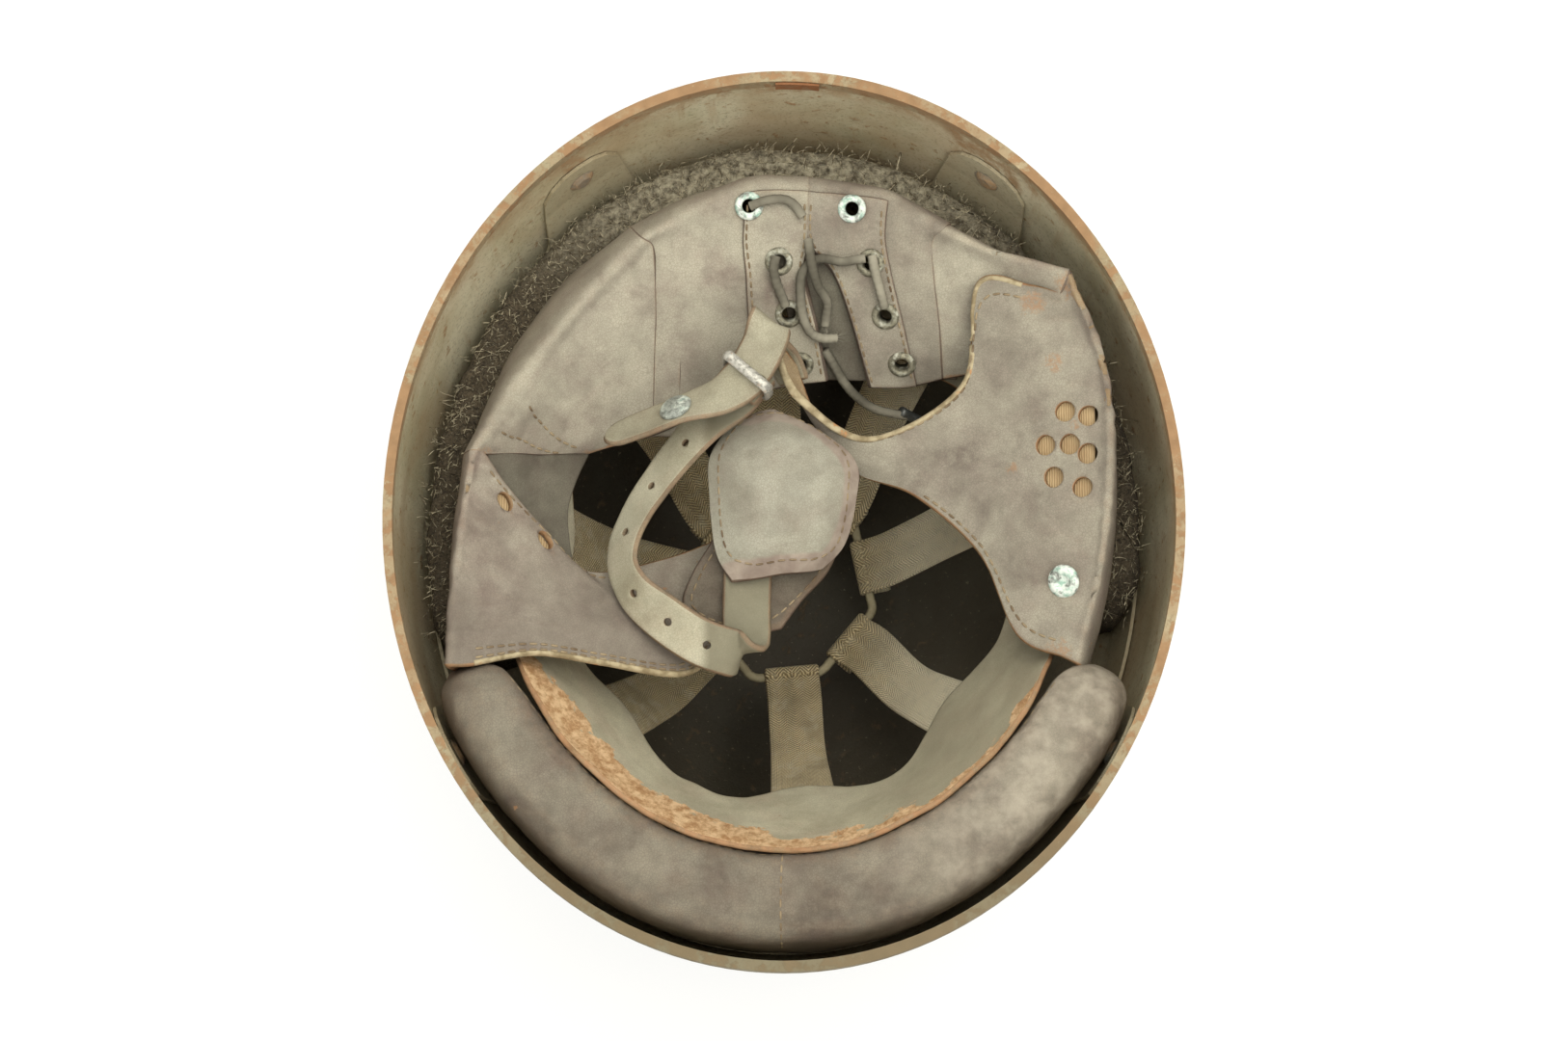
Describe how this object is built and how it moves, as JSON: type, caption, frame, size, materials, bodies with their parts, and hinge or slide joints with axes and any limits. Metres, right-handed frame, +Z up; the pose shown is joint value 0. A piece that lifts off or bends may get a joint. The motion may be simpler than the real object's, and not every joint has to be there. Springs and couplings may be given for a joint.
{
  "type": "despatch rider helmet",
  "caption": "Oval steel despatch rider helmet lying on its crown, with a sprung band, felt ring, stuffed brow pad, leather ear flaps, laced neck curtain and a buckled strap with a chin cup.",
  "frame": {"origin": "The lowest point of the crown, under the centre of the oval rim, with the helmet lying on its crown and open upwards.", "axes": "+Z points up out of the opening, +Y to the back of the neck, -Y to the brow, +X to the flap with the hearing holes."},
  "size_m": [0.245, 0.28, 0.165],
  "materials": {
    "painted_steel": "worn matt paint",
    "rusted_steel": "rusted",
    "corroded_metal": "corroded plating",
    "felt": "matt",
    "padded_leather": "worn",
    "leather": "worn",
    "strap_leather": "worn",
    "lining_cloth": "matt",
    "cotton_tape": "herringbone weave",
    "cord": "matt"
  },
  "bodies": {
    "helmet": {"shell": "painted_steel", "rim_strip": "rusted_steel", "rim_clip": "rusted_steel", "liner_band": "painted_steel", "liner_rivets": "corroded_metal", "buffer_ring": "felt", "brow_pad": "padded_leather", "sweatband": "leather", "crown_tape_1": "cotton_tape", "crown_tape_2": "cotton_tape", "crown_tape_3": "cotton_tape", "crown_tape_4": "cotton_tape", "crown_tape_5": "cotton_tape", "crown_tape_6": "cotton_tape", "crown_tape_7": "cotton_tape", "crown_tape_8": "cotton_tape", "crown_cord": "cord", "skirt_band": "leather", "left_gusset": "leather", "right_gusset": "leather", "top_eyelets": "corroded_metal", "lace_over_fold": "cord"},
    "left_ear_flap": {"left_ear_flap": "leather", "left_flap_lining": "lining_cloth"},
    "right_ear_flap": {"right_ear_flap": "leather", "right_flap_lining": "lining_cloth", "flap_stud": "corroded_metal", "tongue_strap": "strap_leather"},
    "neck_curtain": {"left_neck_panel": "leather", "right_neck_panel": "leather", "left_lace_facing": "leather", "right_lace_facing": "leather", "lace_tongue": "leather", "left_eyelets": "corroded_metal", "right_eyelets": "corroded_metal", "lace_crossings": "cord", "lace_top_end": "cord", "lace_short_end": "cord", "lace_long_end": "cord"},
    "chin_strap": {"tongue_tail": "strap_leather", "tongue_stud": "corroded_metal", "buckle": "corroded_metal", "holed_strap": "strap_leather"},
    "chin_cup": {"chin_cup": "strap_leather", "chin_cup_lining": "strap_leather"}
  },
  "joints": [
    {"name": "right_flap_swing", "type": "hinge", "parent": "helmet", "child": "right_ear_flap", "pos_m": [0.0964, 0.016, 0.1546], "axis": [0, 1, 0], "range_deg": [0, 95]},
    {"name": "left_flap_swing", "type": "hinge", "parent": "helmet", "child": "left_ear_flap", "pos_m": [-0.0952, -0.01, 0.1546], "axis": [0, -1, 0], "range_deg": [0, 95]},
    {"name": "neck_curtain_swing", "type": "hinge", "parent": "helmet", "child": "neck_curtain", "pos_m": [0, 0.093, 0.1422], "axis": [-1, 0, 0], "range_deg": [0, 95]},
    {"name": "chin_strap_swing", "type": "hinge", "parent": "right_ear_flap", "child": "chin_strap", "pos_m": [-0.0103, 0.0484, 0.1522], "axis": [-0.76, 0.65, 0], "range_deg": [0, 20]},
    {"name": "chin_cup_slide", "type": "slide", "parent": "chin_strap", "child": "chin_cup", "axis": [0, -1, 0], "range_m": [0, 0.006]}
  ],
  "couplings": [
    {"joint": "left_flap_swing", "follows": "right_flap_swing", "ratio": 0.9},
    {"joint": "neck_curtain_swing", "follows": "right_flap_swing", "ratio": 0.9}
  ]
}
